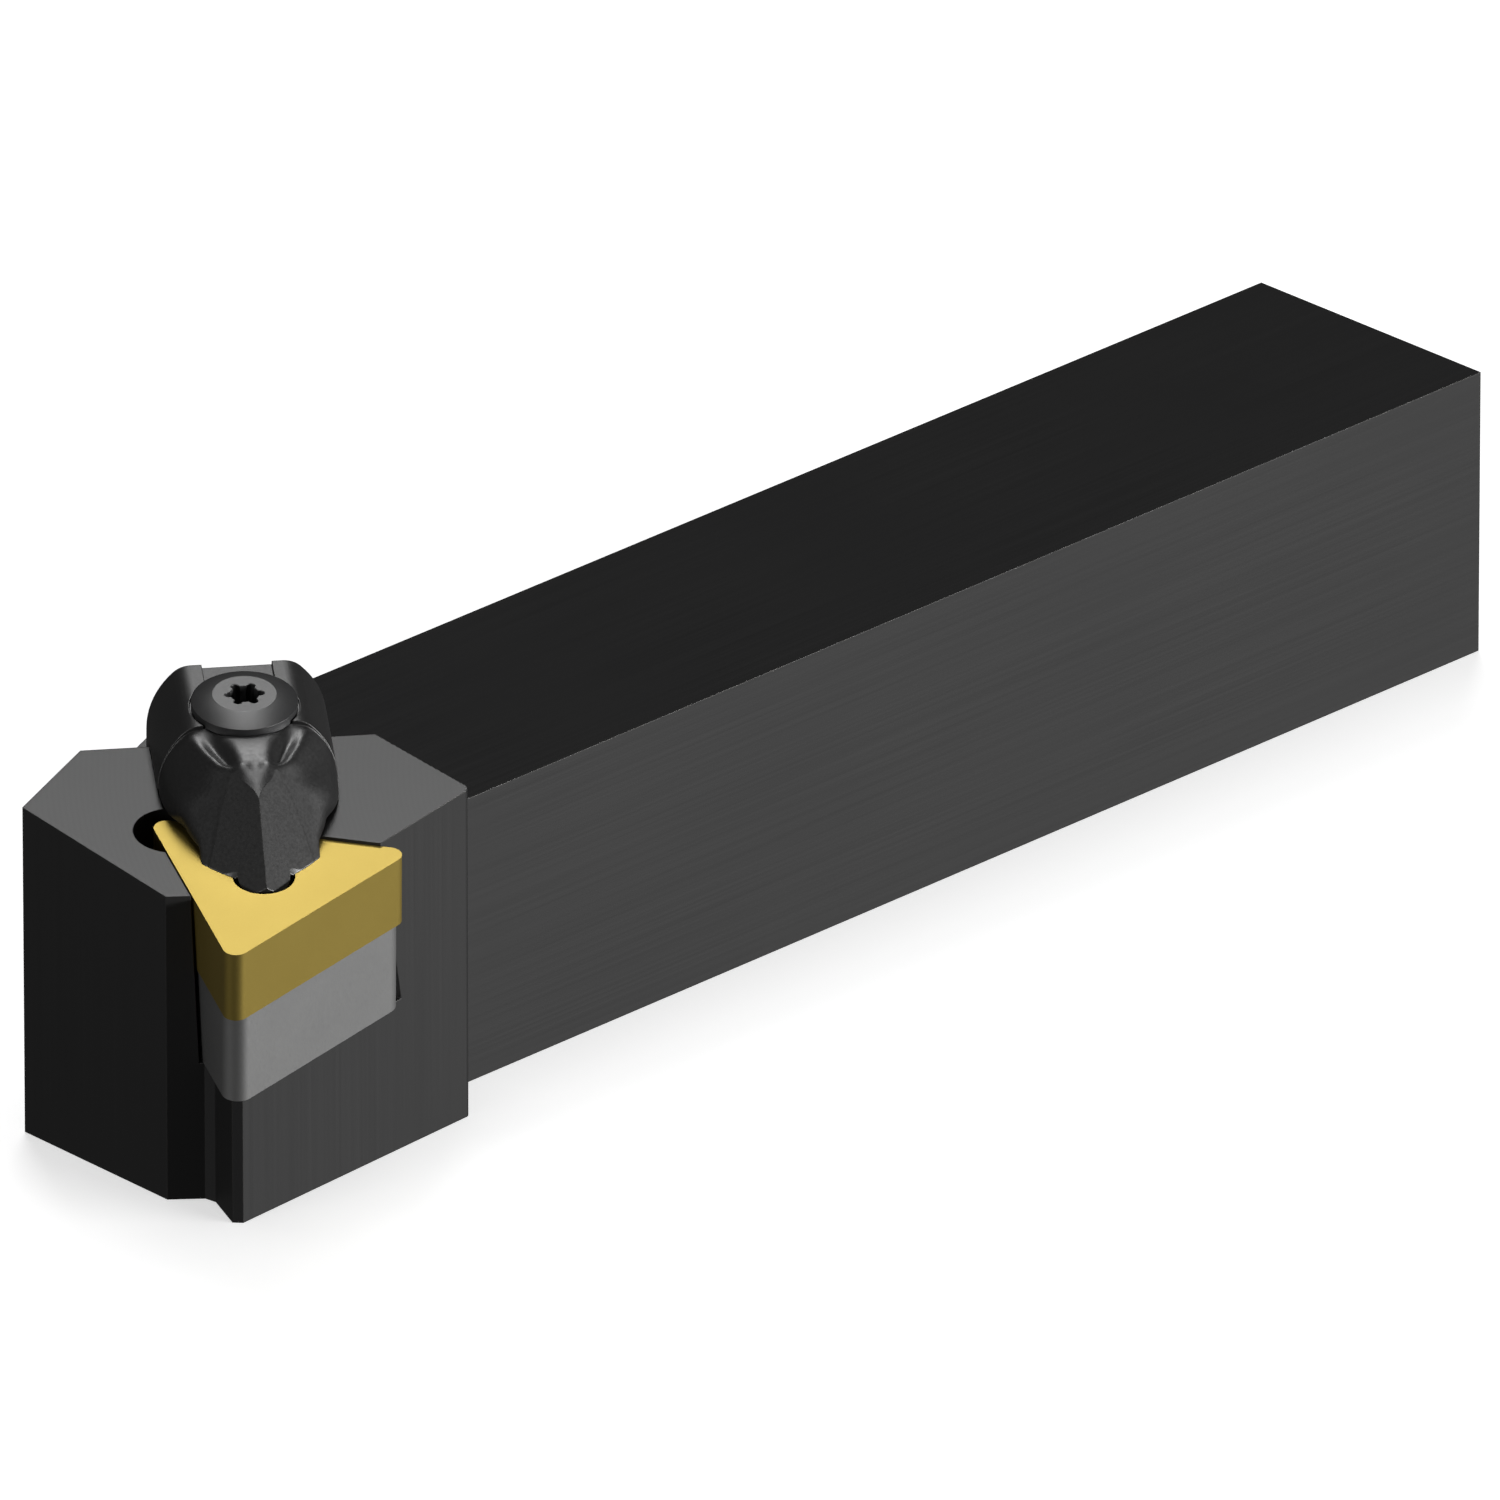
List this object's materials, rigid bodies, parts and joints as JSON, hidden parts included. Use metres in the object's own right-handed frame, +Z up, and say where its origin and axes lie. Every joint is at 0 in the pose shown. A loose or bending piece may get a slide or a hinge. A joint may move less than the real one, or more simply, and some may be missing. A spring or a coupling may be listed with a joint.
{
  "type": "turning tool holder",
  "caption": "Square-shank external turning tool holder, right hand, with a screw-down top clamp that holds a triangular indexable insert on a shim.",
  "frame": {"origin": "middle of the underside of the shank, where it lies in its tool block", "axes": "+X along the shank towards the nose, +Y towards the side that cuts, +Z up through the cutting edges"},
  "size_m": [0.1142, 0.0254, 0.0281],
  "materials": {
    "holder_steel": "satin",
    "shim_carbide": "satin",
    "insert_coating": "satin",
    "clamp_steel": "satin",
    "screw_steel": "satin",
    "spring_steel": "satin"
  },
  "bodies": {
    "holder": {"holder": "holder_steel", "shim": "shim_carbide", "shim_screw": "screw_steel", "insert": "insert_coating", "clamp_spring": "spring_steel"},
    "clamp": {"clamp": "clamp_steel"},
    "clamp_screw": {"clamp_screw": "screw_steel", "retaining_ring": "spring_steel"}
  },
  "joints": [
    {"name": "clamp_lift", "type": "slide", "parent": "holder", "child": "clamp", "axis": [0.0984, 0.1093, 0.9891], "range_m": [0, 0.003], "deforming": ["clamp_spring"]},
    {"name": "screw_turn", "type": "hinge", "parent": "clamp", "child": "clamp_screw", "pos_m": [0.05461, 0.00245, 0.02671], "axis": [0.0984, 0.1093, 0.9891], "range_deg": [0, 1542.9]}
  ],
  "couplings": [
    {"joint": "screw_turn", "follows": "clamp_lift", "rad_per_m": 8976}
  ]
}
